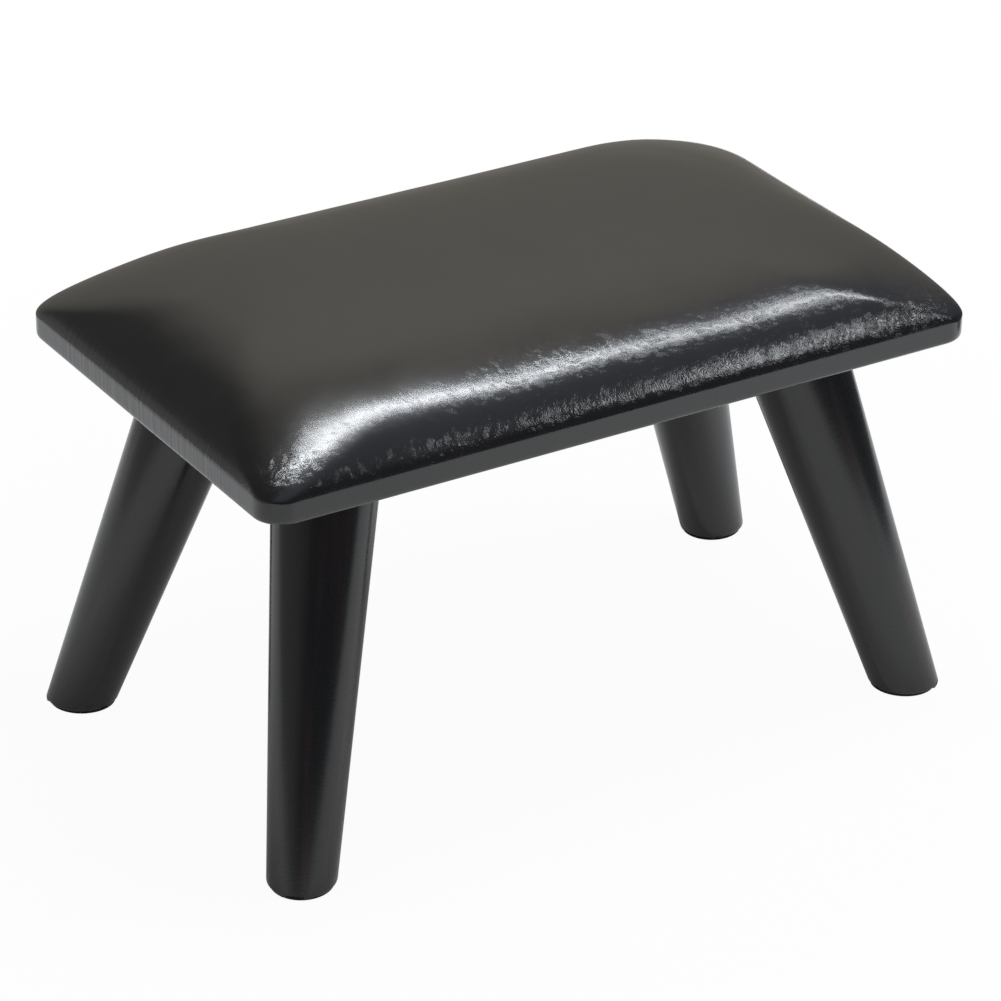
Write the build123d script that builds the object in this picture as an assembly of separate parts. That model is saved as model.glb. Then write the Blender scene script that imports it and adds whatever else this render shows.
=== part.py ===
from build123d import *
from math import atan2, ceil, cos, degrees, exp, radians, sin
import os

# Footstool: a padded seat on four splayed, turned legs.
# Millimetres. X runs along the seat, Y to the rear, Z up. The origin is on the floor under the seat's centre.

# Seat, measured over the cover
SEAT_LENGTH = 400.0
SEAT_WIDTH = 246.0
SEAT_CORNER_RADIUS = 14.5
UNDERSIDE_HEIGHT = 203.0          # floor to the underside of the seat board
BOARD_THICKNESS = 10.0
BOARD_EDGE_ROUNDING = 1.5         # of its lower edge, which the cover follows
CROWN_HEIGHT = 49.0               # rise of the pad above the edge of the board

# Pad form, from its edge to its flat top
SHOULDER_FULLNESS = 2.28          # higher is a fuller shoulder
EDGE_STEEPNESS = 1.64             # higher is a steeper start at the edge
CORNER_SOFTENING = 45.0           # how much rounder the corners get towards the top
CORNER_SOFTENING_RUN = 8.0        # distance in from the edge over which they do so
CORNER_LIMIT = 0.9                # largest corner radius, as a share of what is left of the half width
PAD_STEPS = 8                     # sections from the edge to the top
PAD_STEP_CROWDING = 1.8           # higher sets more of the sections near the edge
FOAM_GAP = 0.3                    # room between the foam and the cover

# Cover and its hem under the board
COVER_THICKNESS = 1.0
COVER_GAP = 0.2                   # room between the cover and the board's edge
HEM_WIDTH = 30.0
HEM_CORNER_RADIUS = 8.0

# Dust cover
DUST_COVER_THICKNESS = 0.5
DUST_COVER_INSET = 13.0           # its edge, in from the edge of the seat
DUST_COVER_GAP = 0.3              # room round the hem's raw edge
DUST_COVER_BOLT_GAP = 1.0         # room round each bolt

# Staples
STAPLE_CROWN = 10.0
STAPLE_WIDTH = 1.2
STAPLE_WIRE = 0.6
STAPLE_DEPTH = 6.0
COVER_STAPLE_INSET = 23.0         # from the edge of the seat
COVER_STAPLE_PITCH = 27.0
DUST_STAPLE_INSET = 17.0
DUST_STAPLE_PITCH = 55.0
STAPLE_CORNER_MARGIN = 34.0       # from the end of a side to its first staple

# Legs
LEG_END_INSET = 69.0              # bolt's place, in from the end of the seat
LEG_SIDE_INSET = 66.0             # and in from its long side
LEG_TOP_RADIUS = 27.0             # square to the leg's own axis
LEG_FOOT_RADIUS = 17.15
LEG_TILT_DEG = 19.6               # from upright
LEG_TOP_EASING = 0.8
FOOT_ROUNDING = 1.5
# Each leg stops at its own turn when it is screwed home: from X, outwards in its own corner
FRONT_LEFT_TURN_DEG = 49.0
FRONT_RIGHT_TURN_DEG = 41.0
REAR_LEFT_TURN_DEG = 35.0
REAR_RIGHT_TURN_DEG = 26.0

# Foot pads
FOOT_PAD_THICKNESS = 1.5

# Hanger bolts and tee nuts
BOLT_RADIUS = 4.0
BOLT_WOOD_LENGTH = 32.0
BOLT_TIP_LENGTH = 6.0
BOLT_TIP_RADIUS = 1.0
BOLT_END_CHAMFER = 0.8
BOLT_SHORTFALL = 0.5              # bolt's end, below the top of the nut's flange
BOLT_HOLE_GAP = 0.05
NUT_BARREL_RADIUS = 5.2
NUT_BARREL_SHORTFALL = 1.0        # barrel's end, above the underside of the board
NUT_FLANGE_RADIUS = 10.5
NUT_FLANGE_THICKNESS = 1.5
NUT_PRONGS = 4
NUT_PRONG_LENGTH = 6.0
NUT_PRONG_WIDTH = 4.0
NUT_PRONG_THICKNESS = 1.2
NUT_PRONG_INSET = 1.2             # prong's outer face, in from the edge of the flange
NUT_HOLE_GAP = 0.05
FOAM_NUT_GAP = 0.5                # hollow that the foam takes round the flange

# Heights that the sizes above lead to
BOARD_LOW = UNDERSIDE_HEIGHT
BOARD_TOP = BOARD_LOW + BOARD_THICKNESS
HEM_LOW = BOARD_LOW - COVER_THICKNESS
DUST_LOW = HEM_LOW - DUST_COVER_THICKNESS
CREASE = BOARD_TOP + COVER_THICKNESS
LEG_TOP = BOARD_LOW - DUST_COVER_THICKNESS
LEG_HEIGHT = LEG_TOP - FOOT_PAD_THICKNESS
NUT_TOP = BOARD_TOP + NUT_FLANGE_THICKNESS

CORNERS = {
    "front_left": (-1, -1, FRONT_LEFT_TURN_DEG),
    "front_right": (1, -1, FRONT_RIGHT_TURN_DEG),
    "rear_left": (-1, 1, REAR_LEFT_TURN_DEG),
    "rear_right": (1, 1, REAR_RIGHT_TURN_DEG),
}
UPRIGHT = (Align.CENTER, Align.CENTER, Align.MIN)   # centred on its axis, standing on its lower end


def slab(inset, corner_radius, low, high):
    """Rounded panel, a distance in from the edge of the seat all round."""
    outline = RectangleRounded(SEAT_LENGTH - 2 * inset, SEAT_WIDTH - 2 * inset, corner_radius)
    return extrude(Pos(0, 0, low) * outline, high - low)


def pad_section(edge_inset, crown, low, distance_in):
    """Outline of the crowned pad, a distance in from its own edge, at the height that the crown has there."""
    half_width = SEAT_WIDTH / 2 - edge_inset
    left = half_width - distance_in
    rise = (1 - (left / half_width) ** SHOULDER_FULLNESS) ** (1 / EDGE_STEEPNESS)
    softening = CORNER_SOFTENING * (1 - exp(-distance_in / CORNER_SOFTENING_RUN))
    radius = min(SEAT_CORNER_RADIUS - edge_inset + softening, CORNER_LIMIT * left)
    inset = edge_inset + distance_in
    outline = RectangleRounded(SEAT_LENGTH - 2 * inset, SEAT_WIDTH - 2 * inset, radius)
    return Pos(0, 0, low + crown * rise) * outline


def crowned_pad(edge_inset, crown, low):
    """Crowned form with a steep edge, a full shoulder and a nearly flat top."""
    half_width = SEAT_WIDTH / 2 - edge_inset
    steps = [half_width * (step / PAD_STEPS) ** PAD_STEP_CROWDING for step in range(PAD_STEPS)]
    return loft([pad_section(edge_inset, crown, low, distance_in) for distance_in in steps])


def staple(crown_low):
    """Driven staple, with its crown along X and its two tines up in the board."""
    body = Box(STAPLE_CROWN, STAPLE_WIDTH, STAPLE_WIRE, align=UPRIGHT)
    for side in (-1, 1):
        tine = Box(STAPLE_WIRE, STAPLE_WIDTH, STAPLE_DEPTH, align=UPRIGHT)
        body += Pos(side * (STAPLE_CROWN - STAPLE_WIRE) / 2, 0, 0) * tine
    return Pos(0, 0, crown_low) * body


def along(length, pitch):
    """Even places along a side, no further apart than the pitch."""
    run = length - 2 * STAPLE_CORNER_MARGIN
    gaps = max(1, ceil(run / pitch))
    return [-run / 2 + run * place / gaps for place in range(gaps + 1)]


def staple_row(model, inset, pitch):
    """Copies of one staple round the underside of the seat."""
    across, down = SEAT_WIDTH / 2 - inset, SEAT_LENGTH / 2 - inset
    row = []
    for side in (-1, 1):
        row += [Pos(x, side * across, 0) * model for x in along(SEAT_LENGTH, pitch)]
        row += [Pos(side * down, y, 0) * Rot(0, 0, 90) * model for y in along(SEAT_WIDTH, pitch)]
    return row


def disc(radius, low, high):
    """Round bar or cutter on the axis of a bolt."""
    return Pos(0, 0, low) * Cylinder(radius, high - low, align=UPRIGHT)


def hanger_bolt():
    """Headless bolt on its axis: a machine end up in the nut and a pointed wood end down in the leg."""
    high = NUT_TOP - BOLT_SHORTFALL
    low = LEG_TOP - BOLT_WOOD_LENGTH
    points = [
        (0, low),
        (BOLT_TIP_RADIUS, low),
        (BOLT_RADIUS, low + BOLT_TIP_LENGTH),
        (BOLT_RADIUS, high - BOLT_END_CHAMFER),
        (BOLT_RADIUS - BOLT_END_CHAMFER, high),
        (0, high),
    ]
    profile = Plane.XZ * make_face(Polyline(*points, close=True))
    return revolve(profile, Axis.Z)


def nut_prong():
    """One pointed prong, bent down from the edge of the flange on the +X side."""
    half = NUT_PRONG_WIDTH / 2
    face = make_face(Polyline((-half, 0), (half, 0), (0, -NUT_PRONG_LENGTH), close=True))
    outer = NUT_FLANGE_RADIUS - NUT_PRONG_INSET
    return Pos(outer, 0, BOARD_TOP) * extrude(Plane.YZ * face, -NUT_PRONG_THICKNESS)


def nut_spikes():
    """The prongs of one nut, evenly spaced round its axis."""
    prong = nut_prong()
    return [Rot(0, 0, 360 * place / NUT_PRONGS) * prong for place in range(NUT_PRONGS)]


def tee_nut():
    """Pronged nut on its axis, with its flange on top of the board."""
    barrel_low = BOARD_LOW + NUT_BARREL_SHORTFALL
    body = disc(NUT_FLANGE_RADIUS, BOARD_TOP, NUT_TOP) + disc(NUT_BARREL_RADIUS, barrel_low, BOARD_TOP)
    body += nut_spikes()
    return body - disc(BOLT_RADIUS + BOLT_HOLE_GAP, barrel_low, NUT_TOP)


def turned_leg():
    """Tapered leg that leans out along +X from the bolt's axis, cut level at its top and its foot."""
    length = LEG_HEIGHT / cos(radians(LEG_TILT_DEG))
    taper = (LEG_TOP_RADIUS - LEG_FOOT_RADIUS) / length
    spare = LEG_TOP_RADIUS
    low_radius = LEG_FOOT_RADIUS - taper * spare
    high_radius = LEG_TOP_RADIUS + taper * spare
    blank = Pos(0, 0, -length - spare) * Cone(low_radius, high_radius, length + 2 * spare, align=UPRIGHT)
    blank = Pos(0, 0, LEG_TOP) * Rot(0, -LEG_TILT_DEG, 0) * blank
    reach = 2 * (length + 2 * spare)
    level_cut = Pos(0, 0, FOOT_PAD_THICKNESS) * Box(reach, reach, LEG_HEIGHT, align=UPRIGHT)
    leg = blank & level_cut
    leg = fillet(leg.faces().sort_by(Axis.Z)[0].edges(), FOOT_ROUNDING)
    leg = chamfer(leg.faces().sort_by(Axis.Z)[-1].edges(), LEG_TOP_EASING)
    return leg - disc(BOLT_RADIUS + BOLT_HOLE_GAP, LEG_TOP - BOLT_WOOD_LENGTH, LEG_TOP)


def foot_pad(leg):
    """Thin pad on the flat of a leg's foot."""
    return extrude(leg.faces().sort_by(Axis.Z)[0], FOOT_PAD_THICKNESS)


def place_at(name):
    """Place and turn of the leg at a corner."""
    side_x, side_y, turn = CORNERS[name]
    heading = degrees(atan2(side_y * sin(radians(turn)), side_x * cos(radians(turn))))
    place_x = side_x * (SEAT_LENGTH / 2 - LEG_END_INSET)
    place_y = side_y * (SEAT_WIDTH / 2 - LEG_SIDE_INSET)
    return Pos(place_x, place_y, 0) * Rot(0, 0, heading)


parts = {}

# Legs, with the bolt in each, the nut above it and the pad under it
leg = turned_leg()
pad = foot_pad(leg)
bolt = hanger_bolt()
nut = tee_nut()
for corner in CORNERS:
    place = place_at(corner)
    parts["leg_" + corner] = place * leg
    parts["foot_pad_" + corner] = place * pad
    parts["hanger_bolt_" + corner] = place * bolt
    parts["tee_nut_" + corner] = place * nut

# Staples: those of the cover lie flush in the hem, those of the dust cover stand on the cloth
cover_staples = staple_row(staple(HEM_LOW), COVER_STAPLE_INSET, COVER_STAPLE_PITCH)
dust_staples = staple_row(staple(DUST_LOW - STAPLE_WIRE), DUST_STAPLE_INSET, DUST_STAPLE_PITCH)
parts["cover_staples"] = Compound(cover_staples)
parts["dust_cover_staples"] = Compound(dust_staples)

# Board, drilled for the nuts and pierced by the staples
board_inset = COVER_THICKNESS + COVER_GAP
board = slab(board_inset, SEAT_CORNER_RADIUS - board_inset, BOARD_LOW, BOARD_TOP)
board = fillet(board.faces().sort_by(Axis.Z)[0].edges(), BOARD_EDGE_ROUNDING)
nut_cuts = [disc(NUT_BARREL_RADIUS + NUT_HOLE_GAP, BOARD_LOW, BOARD_TOP)] + nut_spikes()
board_cuts = [place_at(corner) * cut for corner in CORNERS for cut in nut_cuts]
parts["seat_board"] = board - (board_cuts + cover_staples + dust_staples)

# Foam on the board, pressed hollow by the flanges of the nuts
foam_inset = COVER_THICKNESS + FOAM_GAP
foam = crowned_pad(foam_inset, CROWN_HEIGHT - FOAM_GAP, BOARD_TOP)
flange_hollow = disc(NUT_FLANGE_RADIUS + FOAM_NUT_GAP, BOARD_TOP, NUT_TOP + FOAM_NUT_GAP)
parts["foam_pad"] = foam - [place_at(corner) * flange_hollow for corner in CORNERS]

# Cover: one skin over the pad and the edge of the board, turned under as a hem
band = slab(0, SEAT_CORNER_RADIUS, HEM_LOW, CREASE)
band = fillet(band.faces().sort_by(Axis.Z)[0].edges(), BOARD_EDGE_ROUNDING + COVER_THICKNESS)
board_room = slab(COVER_THICKNESS, SEAT_CORNER_RADIUS - COVER_THICKNESS, BOARD_LOW, BOARD_TOP)
board_room = fillet(board_room.faces().sort_by(Axis.Z)[0].edges(), BOARD_EDGE_ROUNDING)
cover = band + crowned_pad(0, CROWN_HEIGHT, CREASE)
cover -= board_room
cover -= crowned_pad(COVER_THICKNESS, CROWN_HEIGHT, BOARD_TOP)
cover -= slab(HEM_WIDTH, HEM_CORNER_RADIUS, HEM_LOW, BOARD_LOW)
parts["leather_cover"] = cover - (cover_staples + dust_staples)

# Dust cover: flat against the board, stepped down round the hem's raw edge and out over the hem
step_outer = HEM_WIDTH + DUST_COVER_GAP
step_inner = step_outer + DUST_COVER_THICKNESS
dust_outer_radius = HEM_CORNER_RADIUS + HEM_WIDTH - DUST_COVER_INSET
cloth = slab(step_outer, HEM_CORNER_RADIUS - DUST_COVER_GAP, DUST_LOW, BOARD_LOW)
cloth += slab(DUST_COVER_INSET, dust_outer_radius, DUST_LOW, HEM_LOW)
cloth -= slab(step_inner, HEM_CORNER_RADIUS - DUST_COVER_GAP - DUST_COVER_THICKNESS, DUST_LOW, LEG_TOP)
bolt_slit = disc(BOLT_RADIUS + DUST_COVER_BOLT_GAP, DUST_LOW, BOARD_LOW)
parts["dust_cover"] = cloth - ([place_at(corner) * bolt_slit for corner in CORNERS] + dust_staples)

os.makedirs("parts", exist_ok=True)
for name, part in parts.items():
    export_step(part, f"parts/{name}.step")
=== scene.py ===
from math import cos, exp, hypot, pi, radians, sin, sqrt

import bpy
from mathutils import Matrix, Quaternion, Vector


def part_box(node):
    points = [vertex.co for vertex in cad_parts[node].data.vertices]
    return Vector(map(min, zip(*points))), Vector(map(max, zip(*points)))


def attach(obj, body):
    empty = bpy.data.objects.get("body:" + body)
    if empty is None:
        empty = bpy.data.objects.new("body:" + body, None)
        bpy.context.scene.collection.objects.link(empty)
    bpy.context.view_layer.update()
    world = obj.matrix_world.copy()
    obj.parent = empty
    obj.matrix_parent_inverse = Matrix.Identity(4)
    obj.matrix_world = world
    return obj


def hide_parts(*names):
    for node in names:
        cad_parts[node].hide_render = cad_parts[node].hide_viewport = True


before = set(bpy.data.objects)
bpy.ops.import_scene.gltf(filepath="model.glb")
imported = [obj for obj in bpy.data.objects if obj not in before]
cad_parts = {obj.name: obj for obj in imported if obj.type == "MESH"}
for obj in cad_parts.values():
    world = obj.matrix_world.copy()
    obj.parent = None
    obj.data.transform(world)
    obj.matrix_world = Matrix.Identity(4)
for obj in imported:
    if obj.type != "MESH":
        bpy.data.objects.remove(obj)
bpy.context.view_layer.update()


# Seat board: a raw plywood panel, sawn with round corners and drilled for the four leg bolts.
# The cover is wrapped round its edge and stapled under it, so it only shows with the cover off.
PLY_PALENESS = 0.2


def start_finish(name):
    """New finish: the material, its node tree, its shader and the piece's own coordinates."""
    finish = bpy.data.materials.new(name)
    finish.use_nodes = True
    tree = finish.node_tree
    place = tree.nodes.new("ShaderNodeTexCoord")
    return finish, tree, tree.nodes["Principled BSDF"], place.outputs["Object"]


def set_inputs(tree, node, inputs):
    """Each named input of a node, either set to a value or joined to an output."""
    for name, value in inputs.items():
        if isinstance(value, bpy.types.NodeSocket):
            tree.links.new(value, node.inputs[name])
        else:
            node.inputs[name].default_value = value


def add(tree, kind, inputs, **settings):
    """One new node with its settings and its inputs."""
    node = tree.nodes.new(kind)
    for name, value in settings.items():
        setattr(node, name, value)
    set_inputs(tree, node, inputs)
    return node


def reckon(tree, operation, *values, **settings):
    """One step of arithmetic on values, each a number or an output."""
    inputs = dict(enumerate(values))
    return add(tree, "ShaderNodeMath", inputs, operation=operation, **settings).outputs[0]


def shades(tree, factor, *stops):
    """Colour that runs through the stops, each a place from 0 to 1 and a red, green, blue colour."""
    ramp = add(tree, "ShaderNodeValToRGB", {"Fac": factor})
    bands = ramp.color_ramp.elements
    while len(bands) < len(stops):
        bands.new(0.5)
    for band, (place, colour) in zip(bands, stops):
        band.position = place
        band.color = (*colour, 1)
    return ramp.outputs["Color"]


def stretched(tree, place, scale):
    """The piece's coordinates, scaled apart along its three axes."""
    return add(tree, "ShaderNodeMapping", {"Vector": place, "Scale": scale}).outputs["Vector"]


def noise(tree, place, scale, detail=3.0, roughness=0.5):
    """Cloudy noise over the piece."""
    inputs = {"Vector": place, "Scale": scale, "Detail": detail, "Roughness": roughness}
    return add(tree, "ShaderNodeTexNoise", inputs).outputs[0]


def relief(tree, height, depth, under=None, strength=1.0):
    """Bump from a height that runs from 0 to 1 over a depth in metres, on top of an earlier bump."""
    inputs = {"Height": height, "Distance": depth, "Strength": strength}
    if under is not None:
        inputs["Normal"] = under
    return add(tree, "ShaderNodeBump", inputs).outputs["Normal"]


def finish_node(name, finish):
    """The finish on every face of a solid that stays in view."""
    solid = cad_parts[name]
    solid.data.materials.clear()
    solid.data.materials.append(finish)


def raw_plywood():
    """Long pale grain, with the layers of the ply in bands round the edge."""
    finish, tree, shader, place = start_finish("raw plywood")
    grain = noise(tree, stretched(tree, place, (6, 90, 90)), scale=4.0, detail=6.0, roughness=0.6)
    layers = add(tree, "ShaderNodeTexWave", {"Vector": place, "Scale": 160.0, "Distortion": 0.4},
                 bands_direction="Z").outputs["Fac"]
    mixed = reckon(tree, "MULTIPLY_ADD", grain, layers, PLY_PALENESS)
    colour = shades(tree, mixed, (0.25, (0.36, 0.22, 0.11)), (0.6, (0.62, 0.45, 0.27)),
                    (0.9, (0.72, 0.56, 0.37)))
    set_inputs(tree, shader, {
        "Base Color": colour,
        "Roughness": 0.75,
        "Normal": relief(tree, grain, depth=0.0003),
    })
    return finish


finish_node("seat_board", raw_plywood())
board_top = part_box("seat_board")[1].z


# Tee nuts and hanger bolts: pressed and rolled steel with a bright zinc coat.
# Each nut is knocked into the board from above, and its bolt is screwed into the top of a leg.
CORNERS = ("front_left", "front_right", "rear_left", "rear_right")


def between(tree, value, start, end, low=0.0, high=1.0, **settings):
    """Low where the value is at the start of a range, high at its end, and level beyond both."""
    inputs = {"Value": value, "From Min": start, "From Max": end, "To Min": low, "To Max": high}
    return add(tree, "ShaderNodeMapRange", inputs, **settings).outputs["Result"]


def zinc_plate():
    """Bright metal with a fine spangle, cloudy where the coat is thinner."""
    finish, tree, shader, place = start_finish("zinc plate")
    spangle = add(tree, "ShaderNodeTexVoronoi", {"Vector": place, "Scale": 700.0}).outputs["Color"]
    patches = noise(tree, place, scale=160.0, detail=4.0)
    set_inputs(tree, shader, {
        "Base Color": shades(tree, patches, (0.3, (0.5, 0.52, 0.55)), (0.7, (0.72, 0.73, 0.74))),
        "Metallic": 1.0,
        "Roughness": between(tree, patches, 0.0, 1.0, low=0.22, high=0.42),
        "Normal": relief(tree, spangle, depth=0.00003),
    })
    return finish


zinc = zinc_plate()
for corner in CORNERS:
    finish_node("tee_nut_" + corner, zinc)
    finish_node("hanger_bolt_" + corner, zinc)


# Foam pad: one block of open-cell foam, cut with a crown and laid on the board.
# The nuts' flanges press four shallow hollows into its flat underside.
LEATHER_THICKNESS = 0.001
FOAM_ROOM = 0.0003
FOAM_CELLS = (60, 40)
CROWN_HEIGHT = 0.049
SHOULDER_FULLNESS = 2.28
EDGE_STEEPNESS = 1.64
EDGE_CROWDING = 1.8
SEAT_CORNER_RADIUS = 0.0145
CORNER_SOFTENING = 0.045
CORNER_SOFTENING_RUN = 0.008
CORNER_LIMIT = 0.9
HALVINGS = 24
NUT_ROOM = 0.0005
HOLLOW_SIDES = 32

cover_low, cover_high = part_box("leather_cover")
half_length = (cover_high.x - cover_low.x) / 2
half_width = (cover_high.y - cover_low.y) / 2
crease = board_top + LEATHER_THICKNESS


def distance_in(x, y, reach_x, reach_y, corner_radius):
    """How far in from the pad's edge a point lies, on outlines that get rounder at the corners further in."""
    near, far = 0.0, reach_y
    for halving in range(HALVINGS):
        inset = (near + far) / 2
        softening = CORNER_SOFTENING * (1 - exp(-inset / CORNER_SOFTENING_RUN))
        radius = min(corner_radius + softening, CORNER_LIMIT * (reach_y - inset))
        beyond_x = max(0.0, abs(x) - (reach_x - inset - radius))
        beyond_y = max(0.0, abs(y) - (reach_y - inset - radius))
        if hypot(beyond_x, beyond_y) > radius:
            far = inset
        else:
            near = inset
    return near


def rise(inset, reach):
    """Share of the crown's height, a distance in from the edge of the pad."""
    return (1 - (1 - inset / reach) ** SHOULDER_FULLNESS) ** (1 / EDGE_STEEPNESS)


def crowded(share):
    """Place from -1 to 1, drawn towards the two ends so that the steep edges get the most faces."""
    side = 1 if share > 0 else -1
    return side * (1 - (1 - abs(share)) ** EDGE_CROWDING)


def round_off(x, y, reach_x, reach_y, radius):
    """Point of a square-cornered panel, moved so that the corner becomes an arc."""
    across = (abs(x) - reach_x + radius) / radius
    along = (abs(y) - reach_y + radius) / radius
    if across <= 0 or along <= 0:
        return x, y
    side_x = 1 if x > 0 else -1
    side_y = 1 if y > 0 else -1
    x = side_x * (reach_x - radius + radius * across * sqrt(1 - along * along / 2))
    y = side_y * (reach_y - radius + radius * along * sqrt(1 - across * across / 2))
    return x, y


def flat_grid(name, cells):
    """Flat square skin that reaches from -1 to 1, to be shaped point by point."""
    bpy.ops.object.select_all(action="DESELECT")
    bpy.ops.mesh.primitive_grid_add(x_subdivisions=cells[0], y_subdivisions=cells[1], size=2)
    skin = bpy.context.object
    skin.name = name
    return skin


def crowned_top(name, inset, low, crown, cells):
    """Open crowned skin, its edge a distance in from the edge of the seat and level at its low height."""
    skin = flat_grid(name, cells)
    reach_x = half_length - inset
    reach_y = half_width - inset
    for point in skin.data.vertices:
        x = crowded(point.co.x) * reach_x
        y = crowded(point.co.y) * reach_y
        x, y = round_off(x, y, reach_x, reach_y, SEAT_CORNER_RADIUS - inset)
        inwards = distance_in(x, y, reach_x, reach_y, SEAT_CORNER_RADIUS - inset)
        point.co = (x, y, low + crown * rise(inwards, reach_y))
    return skin


def pick_open_edge():
    """Into edit mode, with only the edge of the open skin picked."""
    bpy.ops.object.mode_set(mode="EDIT")
    bpy.ops.mesh.select_mode(type="EDGE")
    bpy.ops.mesh.select_all(action="DESELECT")
    bpy.ops.mesh.select_non_manifold()


def turn_faces_out():
    """Every face turned outwards, and out of edit mode."""
    bpy.ops.mesh.select_all(action="SELECT")
    bpy.ops.mesh.normals_make_consistent(inside=False)
    bpy.ops.object.mode_set(mode="OBJECT")


def apply_all(piece):
    """Every modifier of the piece, applied in its order."""
    bpy.ops.object.select_all(action="DESELECT")
    piece.select_set(True)
    bpy.context.view_layer.objects.active = piece
    for modifier in list(piece.modifiers):
        bpy.ops.object.modifier_apply(modifier=modifier.name)


def open_cell_foam():
    """Cream foam, its face broken by small cells."""
    finish, tree, shader, place = start_finish("open-cell foam")
    cells = add(tree, "ShaderNodeTexVoronoi", {"Vector": place, "Scale": 900.0},
                feature="DISTANCE_TO_EDGE").outputs["Distance"]
    patches = noise(tree, place, scale=30.0)
    set_inputs(tree, shader, {
        "Base Color": shades(tree, patches, (0.3, (0.74, 0.69, 0.53)), (0.7, (0.86, 0.83, 0.7))),
        "Roughness": 0.95,
        "Sheen Weight": 0.2,
        "Normal": relief(tree, cells, depth=0.0008),
    })
    return finish


foam = crowned_top("foam_block", LEATHER_THICKNESS + FOAM_ROOM, board_top, CROWN_HEIGHT - FOAM_ROOM,
                   FOAM_CELLS)
pick_open_edge()
bpy.ops.mesh.edge_face_add()
turn_faces_out()
for corner in CORNERS:
    nut_low, nut_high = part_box("tee_nut_" + corner)
    nut = (nut_low + nut_high) / 2
    bpy.ops.object.select_all(action="DESELECT")
    bpy.ops.mesh.primitive_cylinder_add(vertices=HOLLOW_SIDES,
                                        radius=(nut_high.x - nut_low.x) / 2 + NUT_ROOM,
                                        depth=2 * (nut_high.z - board_top + NUT_ROOM),
                                        location=(nut.x, nut.y, board_top))
    cutter = bpy.context.object
    cut = foam.modifiers.new("hollow", "BOOLEAN")
    cut.operation = "DIFFERENCE"
    cut.object = cutter
    apply_all(foam)
    bpy.data.objects.remove(cutter)
bpy.ops.object.shade_smooth_by_angle(angle=radians(40))
foam.data.materials.append(open_cell_foam())
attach(foam, "root")
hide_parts("foam_pad")


# Cover: one skin of glossy black imitation leather, pulled tight over the pad and round the board's edge.
# It is turned under as a hem and stapled, and its waxed top coat cracks finely where it is stretched.
COVER_CELLS = (100, 66)
HEM_WIDTH = 0.030
HEM_SHARES = (0.4, 0.7, 0.97, 1.0)
HEM_START = 1.3
FIRST_STRIP = 0.0006
BAND_STEPS = 4
EDGE_ROUNDING = 0.0025
ROUNDING_STEPS = 4
SWELL_LIMIT = 0.0016
SWELL_ROOM = 0.6
SWELL_PRESSURE = 4.0
SWELL_FRAMES = 20
HELD_EDGE = 0.004
LOOSENING_RUN = 4 * HELD_EDGE
LUMP_SIZE = 0.055
LUMP_DEPTH = 0.0007


def extrude_edge(drop, inset_before, inset_after):
    """One more strip of leather from the open edge: down by the drop, and in under the seat."""
    bpy.ops.mesh.extrude_edges_move(TRANSFORM_OT_translate={"value": (0, 0, -drop)})
    draw_in = ((half_length - inset_after) / (half_length - inset_before),
               (half_width - inset_after) / (half_width - inset_before), 1)
    bpy.ops.transform.resize(value=draw_in, center_override=(0, 0, 0))


cover = crowned_top("padded_cover", 0, crease, CROWN_HEIGHT - SWELL_LIMIT * SWELL_ROOM, COVER_CELLS)
pick_open_edge()
band_height = crease - cover_low.z - EDGE_ROUNDING
extrude_edge(FIRST_STRIP, 0, 0)
for step in range(BAND_STEPS):
    extrude_edge((band_height - FIRST_STRIP) / BAND_STEPS, 0, 0)
quarter = [pi / 2 * step / ROUNDING_STEPS for step in range(ROUNDING_STEPS + 1)]
for before, after in zip(quarter, quarter[1:]):
    extrude_edge(EDGE_ROUNDING * (sin(after) - sin(before)), EDGE_ROUNDING * (1 - cos(before)),
                 EDGE_ROUNDING * (1 - cos(after)))
hem_reach = [EDGE_ROUNDING, EDGE_ROUNDING * HEM_START]
hem_reach += [HEM_WIDTH * share for share in HEM_SHARES]
for inset_before, inset_after in zip(hem_reach, hem_reach[1:]):
    extrude_edge(0, inset_before, inset_after)
turn_faces_out()

free = cover.vertex_groups.new(name="free")
held = cover.vertex_groups.new(name="held")
for point in cover.data.vertices:
    edge = min(half_length - abs(point.co.x), half_width - abs(point.co.y))
    looseness = min(1.0, max(0.0, (edge - HELD_EDGE) / LOOSENING_RUN))
    if point.co.z <= crease:
        looseness = 0.0
    free.add([point.index], looseness, "REPLACE")
    held.add([point.index], 1 - looseness, "REPLACE")

flat_skin = [point.co.copy() for point in cover.data.vertices]
cloth = cover.modifiers.new("stretch", "CLOTH")
cloth.settings.vertex_group_mass = "held"
cloth.settings.use_pressure = True
cloth.settings.uniform_pressure_force = SWELL_PRESSURE
cloth.settings.effector_weights.gravity = 0
cloth.settings.tension_stiffness = 40
cloth.settings.compression_stiffness = 40
cloth.settings.shear_stiffness = 20
cloth.settings.bending_stiffness = 2
cloth.point_cache.frame_end = SWELL_FRAMES
for step in range(1, SWELL_FRAMES + 1):
    bpy.context.scene.frame_set(step)
apply_all(cover)
for point, start in zip(cover.data.vertices, flat_skin):
    move = point.co - start
    if move.length > SWELL_LIMIT:
        move *= SWELL_LIMIT / move.length
    point.co = start + move
bpy.context.scene.frame_set(1)

lumps = bpy.data.textures.new("foam lumps", "CLOUDS")
lumps.noise_scale = LUMP_SIZE
uneven = cover.modifiers.new("uneven foam", "DISPLACE")
uneven.texture = lumps
uneven.texture_coords = "LOCAL"
uneven.strength = LUMP_DEPTH
uneven.vertex_group = "free"
smooth = cover.modifiers.new("smooth", "SUBSURF")
smooth.levels = 1
smooth.render_levels = 1
thickness = cover.modifiers.new("thickness", "SOLIDIFY")
thickness.thickness = LEATHER_THICKNESS
thickness.offset = -1
apply_all(cover)
bpy.ops.object.shade_smooth_by_angle(angle=radians(50))


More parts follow.
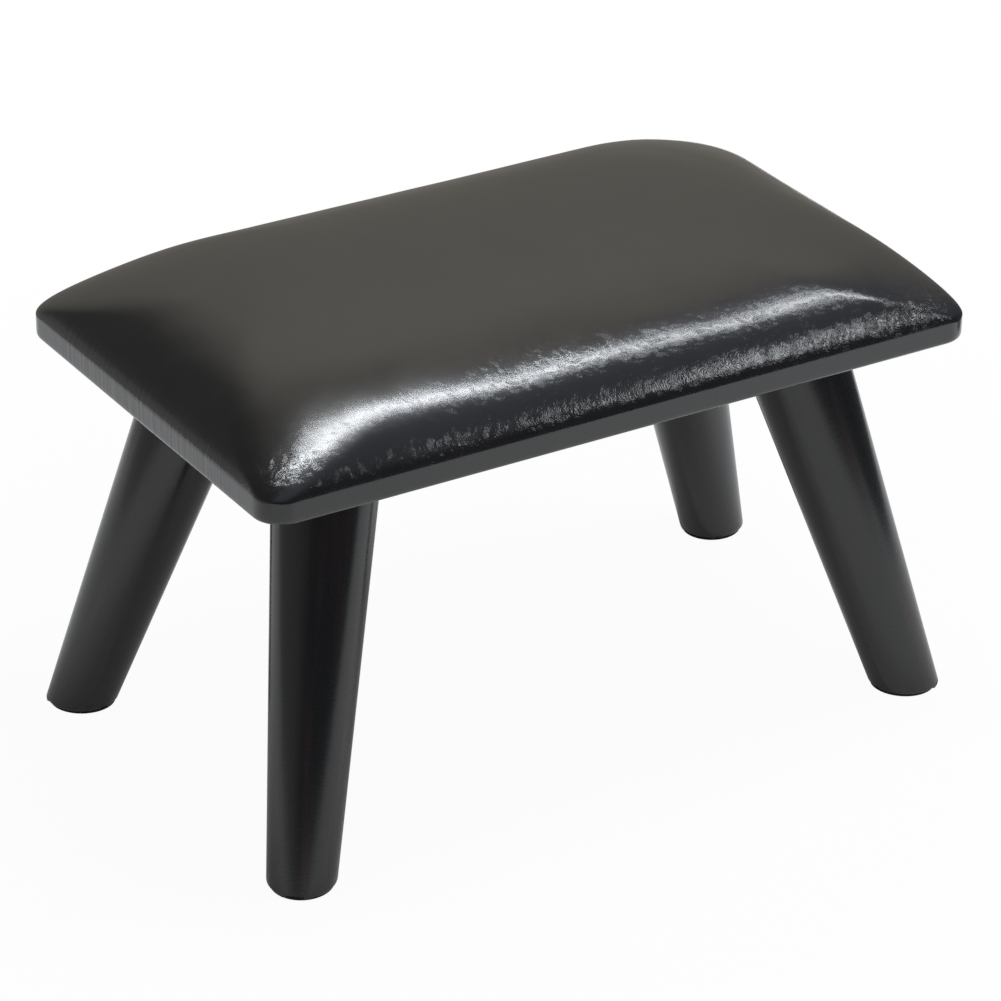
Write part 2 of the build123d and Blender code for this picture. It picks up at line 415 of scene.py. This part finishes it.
def product(tree, first, *others):
    """All the values multiplied, one after the other."""
    for other in others:
        first = reckon(tree, "MULTIPLY", first, other)
    return first


def waxed_leather():
    """Black gloss, cracked and crumpled low on the long sides, drawn in at the ends, pebbled on the crown."""
    finish, tree, shader, place = start_finish("waxed black leather")
    sides = add(tree, "ShaderNodeSeparateXYZ", {"Vector": place}).outputs
    height = sides["Z"]
    across = reckon(tree, "ABSOLUTE", sides["Y"])

    # Where each kind of mark shows: 0 for not at all, 1 for its full depth
    above = between(tree, height, crease - 0.001, crease + 0.003)
    below = between(tree, height, crease + 0.018, crease + 0.008)
    band = between(tree, height, crease + 0.010, crease - 0.002)
    crown = between(tree, height, crease + 0.028, crease + 0.044)
    stretch = between(tree, height, crease + 0.038, crease + 0.022, low=0.15)
    long_side = between(tree, across, half_width - 0.050, half_width - 0.020)
    worn = between(tree, sides["X"], -0.15, -0.04, low=0.40)
    clumps = between(tree, noise(tree, place, scale=24.0, detail=1.0), 0.40, 0.62, low=0.45)
    grain = product(tree, above, stretch, worn)
    crumple = product(tree, above, below, long_side, worn)
    flakes = product(tree, crumple, clumps)
    low_down = between(tree, height, crease + 0.018, crease + 0.002)
    short_side = reckon(tree, "SUBTRACT", low_down, long_side, use_clamp=True)

    # The marks: cracks, creases, strokes and wrinkles wander, because their coordinates are pulled about
    warp = add(tree, "ShaderNodeTexNoise", {"Vector": place, "Scale": 130.0, "Detail": 1.0}).outputs["Color"]
    bent = add(tree, "ShaderNodeVectorMath", {0: warp, 1: place, 2: place},
               operation="MULTIPLY_ADD").outputs[0]
    crackle = add(tree, "ShaderNodeTexVoronoi", {"Vector": bent, "Scale": 260.0, "Randomness": 1.0},
                  feature="DISTANCE_TO_EDGE").outputs["Distance"]
    cracks = between(tree, crackle, 0.0, 0.5, interpolation_type="SMOOTHSTEP")
    creases = noise(tree, stretched(tree, bent, (0.25, 1.0, 1.0)), scale=220.0, detail=0.0)
    strokes = noise(tree, stretched(tree, bent, (1.0, 0.15, 0.15)), scale=600.0, detail=0.0)
    wrinkles = noise(tree, stretched(tree, bent, (0.14, 1.0, 1.0)), scale=420.0, detail=0.0)
    puckers = noise(tree, stretched(tree, place, (1.0, 0.2, 0.2)), scale=60.0, detail=1.0)
    streaks = noise(tree, stretched(tree, place, (1.0, 1.0, 0.12)), scale=650.0, detail=2.0)
    pulls = noise(tree, stretched(tree, place, (0.12, 1.0, 0.12)), scale=320.0, detail=1.0)
    waves = noise(tree, place, scale=70.0, detail=2.0)
    pebble = noise(tree, place, scale=420.0, detail=2.0)
    pores = noise(tree, place, scale=1500.0, detail=2.0)

    # Each mark with its depth in metres and where it shows
    surface = None
    for mark, depth, where in ((waves, 0.00005, 1.0),
                               (creases, 0.000012, grain),
                               (cracks, 0.00001, flakes),
                               (wrinkles, 0.000019, grain),
                               (puckers, 0.0005, crumple),
                               (strokes, 0.00012, flakes),
                               (streaks, 0.00003, band),
                               (pulls, 0.00018, short_side),
                               (pebble, 0.00003, crown),
                               (pores, 0.000002, 1.0)):
        surface = relief(tree, mark, depth, surface, where)

    # The tone, and the gloss of the leather and of its wax: duller at the left end and on the crown
    tone = shades(tree, noise(tree, place, scale=45.0, detail=4.0), (0.3, (0.003, 0.003, 0.003)),
                  (0.7, (0.006, 0.0058, 0.0055)))
    dull = between(tree, worn, 0.0, 1.0, low=0.08, high=0.0)
    satin = reckon(tree, "MULTIPLY", crown, 0.05)
    rough = between(tree, noise(tree, place, scale=90.0, detail=4.0), 0.0, 1.0, low=0.15, high=0.20)
    rough = reckon(tree, "ADD", rough, satin)
    rough = reckon(tree, "ADD", rough, dull)
    polish = between(tree, height, crease + 0.010, crease + 0.020, low=0.03, high=0.09)
    polish = reckon(tree, "ADD", polish, dull)
    set_inputs(tree, shader, {
        "Base Color": tone,
        "Roughness": rough,
        "IOR": 1.5,
        "Normal": surface,
        "Coat Weight": 0.8,
        "Coat Roughness": polish,
        "Coat IOR": 1.5,
        "Coat Normal": surface,
    })
    return finish


cover.data.materials.append(waxed_leather())
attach(cover, "root")
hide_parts("leather_cover")


# Staples: flat galvanised wire, driven up through the hem, and later through the dust cloth, into the board.
# Each row stops short of the rounded corners.
def staple_wire():
    """Dull drawn wire, a little uneven in tone."""
    finish, tree, shader, place = start_finish("staple wire")
    drawn = noise(tree, place, scale=1200.0)
    set_inputs(tree, shader, {
        "Base Color": shades(tree, drawn, (0.3, (0.42, 0.42, 0.43)), (0.7, (0.66, 0.66, 0.66))),
        "Metallic": 1.0,
        "Roughness": 0.38,
        "Normal": relief(tree, drawn, depth=0.00002),
    })
    return finish


wire = staple_wire()
finish_node("cover_staples", wire)
finish_node("dust_cover_staples", wire)


# Dust cloth: a rectangle of black non-woven cloth that closes the underside.
# It lies flat on the board, steps over the raw edge of the hem and is stapled down round its edge.
CLOTH_THICKNESS = 0.0005
CLOTH_CELLS = (150, 92)
CLOTH_CORNER_RADIUS = 0.025
STEP_WIDTH = 0.0016
BOLT_SLIT = 0.006

cloth_low, cloth_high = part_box("dust_cover")
cloth_half_length = (cloth_high.x - cloth_low.x) / 2
cloth_half_width = (cloth_high.y - cloth_low.y) / 2
step_height = cloth_high.z - cloth_low.z - CLOTH_THICKNESS
bolts = [sum(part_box("hanger_bolt_" + corner), Vector()) / 2 for corner in CORNERS]


def pick(piece, kind, wanted):
    """Into edit mode, with only the wanted points or edges of a piece picked."""
    bpy.ops.object.mode_set(mode="EDIT")
    bpy.ops.mesh.select_mode(type=kind)
    bpy.ops.mesh.select_all(action="DESELECT")
    bpy.ops.object.mode_set(mode="OBJECT")
    parts = piece.data.vertices if kind == "VERT" else piece.data.edges
    for part in parts:
        part.select = wanted(part)
    bpy.ops.object.mode_set(mode="EDIT")


def over_bolt(point):
    """Whether a point of the cloth is where a bolt comes through."""
    return any((point.co - bolt).xy.length < BOLT_SLIT for bolt in bolts)


def non_woven_cloth():
    """Black web of fibres, bonded in rows of dimples."""
    finish, tree, shader, place = start_finish("black non-woven cloth")
    fibres = noise(tree, stretched(tree, place, (1.0, 0.35, 1.0)), scale=1400.0, detail=5.0, roughness=0.65)
    webs = noise(tree, place, scale=120.0, detail=4.0)
    bonds = add(tree, "ShaderNodeTexVoronoi", {"Vector": place, "Scale": 420.0, "Randomness": 0.15})
    dimples = between(tree, bonds.outputs["Distance"], 0.0, 0.35)
    surface = relief(tree, fibres, depth=0.0002)
    set_inputs(tree, shader, {
        "Base Color": shades(tree, webs, (0.3, (0.012, 0.012, 0.013)), (0.7, (0.03, 0.03, 0.031))),
        "Roughness": 0.85,
        "Sheen Weight": 0.25,
        "Normal": relief(tree, dimples, depth=0.00012, under=surface),
    })
    return finish


dust_cloth = flat_grid("dust_cloth", CLOTH_CELLS)
for point in dust_cloth.data.vertices:
    x = point.co.x * cloth_half_length
    y = point.co.y * cloth_half_width
    inset = min(half_length - abs(x), half_width - abs(y))
    inside = min(1.0, max(0.0, (inset - HEM_WIDTH) / STEP_WIDTH))
    x, y = round_off(x, y, cloth_half_length, cloth_half_width, CLOTH_CORNER_RADIUS)
    point.co = (x, y, cloth_low.z + CLOTH_THICKNESS + inside * step_height)
pick(dust_cloth, "VERT", over_bolt)
bpy.ops.mesh.delete(type="VERT")
bpy.ops.mesh.select_all(action="SELECT")
bpy.ops.mesh.flip_normals()
bpy.ops.object.mode_set(mode="OBJECT")
thickness = dust_cloth.modifiers.new("thickness", "SOLIDIFY")
thickness.thickness = CLOTH_THICKNESS
thickness.offset = 1
apply_all(dust_cloth)
bpy.ops.object.shade_smooth_by_angle(angle=radians(50))
dust_cloth.data.materials.append(non_woven_cloth())
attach(dust_cloth, "root")
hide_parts("dust_cover")


# Legs: hardwood turned to a plain taper, cut level at the top and the foot so that each leans outwards.
# Each is lacquered black, and screwed up tight by its bolt until it stops at its own turn.
LEG_TILT = radians(19.6)
LEG_TOP_RADIUS = 0.0270
LEG_FOOT_RADIUS = 0.01715
LEG_SPARE = LEG_TOP_RADIUS
LEG_SIDES = 128
LEG_RINGS = 24
FOOT_ROUNDING = 0.0015
TOP_EASING = 0.0008
EASING_STEPS = 4
LEVEL_TOLERANCE = 1e-5
LEG_TURNS = {
    "front_left": radians(180 + 49),
    "front_right": radians(-41),
    "rear_left": radians(180 - 35),
    "rear_right": radians(26),
}


def black_lacquer(corner, top, lean):
    """Semi-gloss black over fine wood fibres that run down the leg, reddish in a few streaks."""
    finish, tree, shader, place = start_finish("black lacquer " + corner.replace("_", " "))
    own = add(tree, "ShaderNodeMapping", {"Vector": place, "Location": top, "Rotation": lean},
              vector_type="TEXTURE").outputs["Vector"]
    fibres = noise(tree, stretched(tree, own, (1.0, 1.0, 0.03)), scale=700.0, detail=4.0, roughness=0.6)
    chatter = noise(tree, stretched(tree, own, (0.12, 0.12, 1.0)), scale=900.0)
    waves = noise(tree, stretched(tree, own, (1.0, 1.0, 0.25)), scale=60.0, detail=2.0)
    streaks = noise(tree, stretched(tree, own, (1.0, 1.0, 0.04)), scale=150.0)
    surface = relief(tree, waves, depth=0.0001)
    surface = relief(tree, fibres, depth=0.000014, under=surface)
    set_inputs(tree, shader, {
        "Base Color": shades(tree, streaks, (0.5, (0.003, 0.003, 0.003)), (0.8, (0.026, 0.010, 0.008))),
        "Roughness": 0.19,
        "IOR": 1.65,
        "Normal": relief(tree, chatter, depth=0.000010, under=surface),
    })
    return finish


def ends(piece, edge):
    """The two end points of an edge."""
    return [piece.data.vertices[index].co for index in edge.vertices]


def long_edge(piece, edge, length):
    """Whether an edge runs from the foot of the leg to its top."""
    start, end = ends(piece, edge)
    return (end - start).length > length


def level_edge(piece, edge, level):
    """Whether an edge lies in a level cut."""
    return all(abs(end.z - level) < LEVEL_TOLERANCE for end in ends(piece, edge))


for corner in CORNERS:
    leg_low, leg_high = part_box("leg_" + corner)
    bolt = sum(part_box("hanger_bolt_" + corner), Vector()) / 2
    top = Vector((bolt.x, bolt.y, leg_high.z))
    turn = LEG_TURNS[corner]
    lean = (0, -LEG_TILT, turn)
    length = (leg_high.z - leg_low.z) / cos(LEG_TILT)
    down = Vector((sin(LEG_TILT) * cos(turn), sin(LEG_TILT) * sin(turn), -cos(LEG_TILT)))
    taper = (LEG_TOP_RADIUS - LEG_FOOT_RADIUS) / length
    bpy.ops.object.select_all(action="DESELECT")
    bpy.ops.mesh.primitive_cone_add(vertices=LEG_SIDES, radius1=LEG_FOOT_RADIUS - taper * LEG_SPARE,
                                    radius2=LEG_TOP_RADIUS + taper * LEG_SPARE,
                                    depth=length + 2 * LEG_SPARE,
                                    location=top + down * length / 2, rotation=lean)
    leg = bpy.context.object
    leg.name = "turned_leg_" + corner
    bpy.ops.object.transform_apply(location=True, rotation=True, scale=True)
    pick(leg, "EDGE", lambda edge: long_edge(leg, edge, length))
    bpy.ops.mesh.subdivide(number_cuts=LEG_RINGS)
    for level, facing in ((leg_high.z, 1), (leg_low.z, -1)):
        bpy.ops.mesh.select_all(action="SELECT")
        bpy.ops.mesh.bisect(plane_co=(0, 0, level), plane_no=(0, 0, facing), use_fill=True, clear_outer=True)
    for level, easing in ((leg_high.z, TOP_EASING), (leg_low.z, FOOT_ROUNDING)):
        pick(leg, "EDGE", lambda edge: level_edge(leg, edge, level))
        bpy.ops.mesh.bevel(offset=easing, segments=EASING_STEPS, affect="EDGES")
    bpy.ops.object.mode_set(mode="OBJECT")
    bpy.ops.object.shade_smooth_by_angle(angle=radians(35))
    leg.data.materials.append(black_lacquer(corner, top, lean))
    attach(leg, "root")
    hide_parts("leg_" + corner)


# Foot pads: thin black non-slip rubber, cut to the flat of each foot and glued on.
# Only the edge of each shows, as a dark line between the lacquer and the floor.
def pad_rubber():
    """Matte black with a fine texture, a little dusty."""
    finish, tree, shader, place = start_finish("non-slip rubber")
    texture = noise(tree, place, scale=1600.0)
    dust = noise(tree, place, scale=150.0, detail=4.0)
    set_inputs(tree, shader, {
        "Base Color": shades(tree, dust, (0.3, (0.006, 0.006, 0.006)), (0.75, (0.014, 0.014, 0.014))),
        "Roughness": 0.8,
        "Normal": relief(tree, texture, depth=0.0001),
    })
    return finish


rubber = pad_rubber()
for corner in CORNERS:
    finish_node("foot_pad_" + corner, rubber)


# Floor: a sheet of white paper, which keeps a soft shadow close to the stool and fades to plain white.
# Gloss shows it mostly as the lamps light it, and from below it is clear.
FLOOR_SIZE = 1.25
PAPER_WHITE = 0.95
FLOOR_SHADE = 0.05
MIRRORED_SHADE = 0.9
SHADE_START = 0.28
SHADE_REACH = 0.70

bpy.ops.object.select_all(action="DESELECT")
bpy.ops.mesh.primitive_plane_add(size=FLOOR_SIZE)
floor = bpy.context.object
floor.name = "floor"


def in_gloss(tree, path):
    """1 for what gloss and glass show, and 0 for all other light."""
    return reckon(tree, "MAXIMUM", path.outputs["Is Glossy Ray"], path.outputs["Is Transmission Ray"])


def white_paper():
    """Plain white to the camera, but for a small lit share near the stool, which takes its shadow."""
    paper = bpy.data.materials.new("white paper")
    paper.use_nodes = True
    tree = paper.node_tree
    tree.nodes.clear()
    path = tree.nodes.new("ShaderNodeLightPath")
    shown = reckon(tree, "MULTIPLY", in_gloss(tree, path), 1 - MIRRORED_SHADE)
    shown = reckon(tree, "MAXIMUM", shown, path.outputs["Is Camera Ray"])
    place = tree.nodes.new("ShaderNodeTexCoord").outputs["Object"]
    away = add(tree, "ShaderNodeVectorMath", {0: place}, operation="LENGTH").outputs["Value"]
    fade = between(tree, away, SHADE_START, SHADE_REACH, low=1 - FLOOR_SHADE)
    share = reckon(tree, "MULTIPLY", shown, fade)
    matte = add(tree, "ShaderNodeBsdfDiffuse", {"Color": (PAPER_WHITE, PAPER_WHITE, PAPER_WHITE, 1)})
    glow = add(tree, "ShaderNodeEmission", {"Color": (1, 1, 1, 1), "Strength": 1.0})
    lit = add(tree, "ShaderNodeMixShader", {0: share, 1: matte.outputs[0], 2: glow.outputs[0]})
    below = tree.nodes.new("ShaderNodeNewGeometry").outputs["Backfacing"]
    clear = tree.nodes.new("ShaderNodeBsdfTransparent")
    sheet = add(tree, "ShaderNodeMixShader", {0: below, 1: lit.outputs[0], 2: clear.outputs[0]})
    add(tree, "ShaderNodeOutputMaterial", {"Surface": sheet.outputs[0]})
    return paper


floor.data.materials.append(white_paper())


# Room: plain white to the camera, a soft fill for the stool, and in its gloss a dim room.
# The far wall brightens upwards and ends in a slant at the right, and the wall at the left is dark.
FILL_LIGHT = 0.38
ROOM_TINT = (0.96, 1.0, 1.16)
ROOM_SHADES = ((0.0, 0.10), (0.25, 0.12), (0.45, 0.20), (0.65, 0.31), (0.85, 0.38))
SIDE_AHEAD = radians(150)
SIDE_SHADES = ((0.0, 0.30), (0.10, 0.17), (0.3, 0.145), (0.5, 0.145), (0.8, 0.15))
WALL_AHEAD = radians(42)
WALL_TINT = (1.06, 1.0, 0.89)
WALL_SHADES = ((0.0, 0.19), (0.2, 0.25), (0.34, 0.32), (0.5, 0.43), (0.63, 0.57), (0.78, 0.75), (0.83, 0.75),
               (0.92, 0.40), (1.0, 0.28))
WALL_END_FACING = (-0.576, 0.760, 0.300)


def tinted(stops, tint=(1, 1, 1)):
    """Stops of grey, each a place and a shade, made into stops of one tint."""
    return [(place, [shade * part for part in tint]) for place, shade in stops]


def towards(tree, direction, facing):
    """How nearly a direction is a facing: 1 for the same, 0 for square to it."""
    inputs = {0: direction, 1: facing}
    return add(tree, "ShaderNodeVectorMath", inputs, operation="DOT_PRODUCT").outputs["Value"]


def heading(angle):
    """Level facing at an angle round from the seat's right."""
    return (cos(angle), sin(angle), 0)


def blend(tree, factor, first, second):
    """The first colour where the factor is 0, and the second where it is 1."""
    return add(tree, "ShaderNodeMix", {"Factor": factor, 6: first, 7: second}, data_type="RGBA").outputs[2]


studio = bpy.data.worlds.new("studio")
bpy.context.scene.world = studio
studio.use_nodes = True
tree = studio.node_tree
tree.nodes.clear()
direction = tree.nodes.new("ShaderNodeTexCoord").outputs["Generated"]
up = add(tree, "ShaderNodeSeparateXYZ", {"Vector": direction}).outputs["Z"]
flattened = add(tree, "ShaderNodeVectorMath", {0: direction, 1: (1, 1, 0)}, operation="MULTIPLY").outputs[0]
level = add(tree, "ShaderNodeVectorMath", {0: flattened}, operation="NORMALIZE").outputs[0]
dim_walls = shades(tree, up, *tinted(ROOM_SHADES, ROOM_TINT))
side_wall = shades(tree, up, *tinted(SIDE_SHADES))
far_wall = shades(tree, up, *tinted(WALL_SHADES, WALL_TINT))
beside = between(tree, towards(tree, level, heading(SIDE_AHEAD)), 0.3, 0.7)
ahead = between(tree, towards(tree, level, heading(WALL_AHEAD)), 0.40, 0.72)
built = between(tree, towards(tree, direction, WALL_END_FACING), -0.07, 0.05)
dim_room = blend(tree, beside, dim_walls, side_wall)
room = blend(tree, product(tree, ahead, built), dim_room, far_wall)
path = tree.nodes.new("ShaderNodeLightPath")
unseen = blend(tree, in_gloss(tree, path), (FILL_LIGHT, FILL_LIGHT, FILL_LIGHT, 1), room)
seen = blend(tree, path.outputs["Is Camera Ray"], unseen, (1, 1, 1, 1))
background = add(tree, "ShaderNodeBackground", {"Color": seen, "Strength": 1.0})
add(tree, "ShaderNodeOutputWorld", {"Surface": background.outputs[0]})


# Lamps: two strip softboxes hang over the seat and its right end, and a small one stands low at the front
# right. All are a little cool, and the camera doesn't see them.
LAMP_TINT = (0.92, 0.96, 1.0)
SEAT_MIDDLE = (0, 0, 0.24)
LOW_PLACE = (0.83, -0.99, 0.74)


def softbox(name, place, turn, width, height, radiance):
    """Flat lamp of a given size, set by the brightness of its face."""
    lamp = bpy.data.lights.new(name, "AREA")
    lamp.shape = "RECTANGLE"
    lamp.size = width
    lamp.size_y = height
    lamp.energy = radiance * pi * width * height
    lamp.color = LAMP_TINT
    holder = bpy.data.objects.new(name, lamp)
    bpy.context.collection.objects.link(holder)
    holder.location = place
    holder.rotation_euler = turn
    holder.visible_camera = False


def facing_seat(place, roll):
    """Turn of a lamp that faces the seat from a place, rolled about the line between them."""
    facing = (Vector(SEAT_MIDDLE) - Vector(place)).to_track_quat("-Z", "Y")
    return (facing @ Quaternion((0, 0, 1), roll)).to_euler()


softbox("overhead_softbox", place=(0.36, -0.075, 2.05), turn=(0, 0, radians(-36)), width=1.38, height=0.17,
        radiance=22.5)
softbox("side_softbox", place=(1.31, -0.44, 2.05), turn=(0, 0, 0), width=0.84, height=0.20, radiance=9.5)
softbox("low_box", place=LOW_PLACE, turn=facing_seat(LOW_PLACE, roll=radians(-35)), width=0.24, height=0.46,
        radiance=5.5)


# Camera: a long lens at the height and turn from which the stool was photographed.
# The film is square, and the lens is centred, so no shift is needed.
CAMERA_PLACE = (-1.0468, -1.6680, 1.1541)
CAMERA_TURN = (radians(62.035), radians(-0.676), radians(-31.79))
FILM_WIDTH = 36.0
LENS_LENGTH = 158.45

camera_data = bpy.data.cameras.new("camera")
camera_data.sensor_width = FILM_WIDTH
camera_data.lens = LENS_LENGTH
camera = bpy.data.objects.new("camera", camera_data)
bpy.context.collection.objects.link(camera)
camera.location = CAMERA_PLACE
camera.rotation_euler = CAMERA_TURN
bpy.context.scene.camera = camera
bpy.context.scene.view_settings.view_transform = "Standard"

# The denoiser's guides stay unfiltered, so that the leather's fine grain isn't smoothed away
bpy.context.scene.cycles.denoising_prefilter = "NONE"
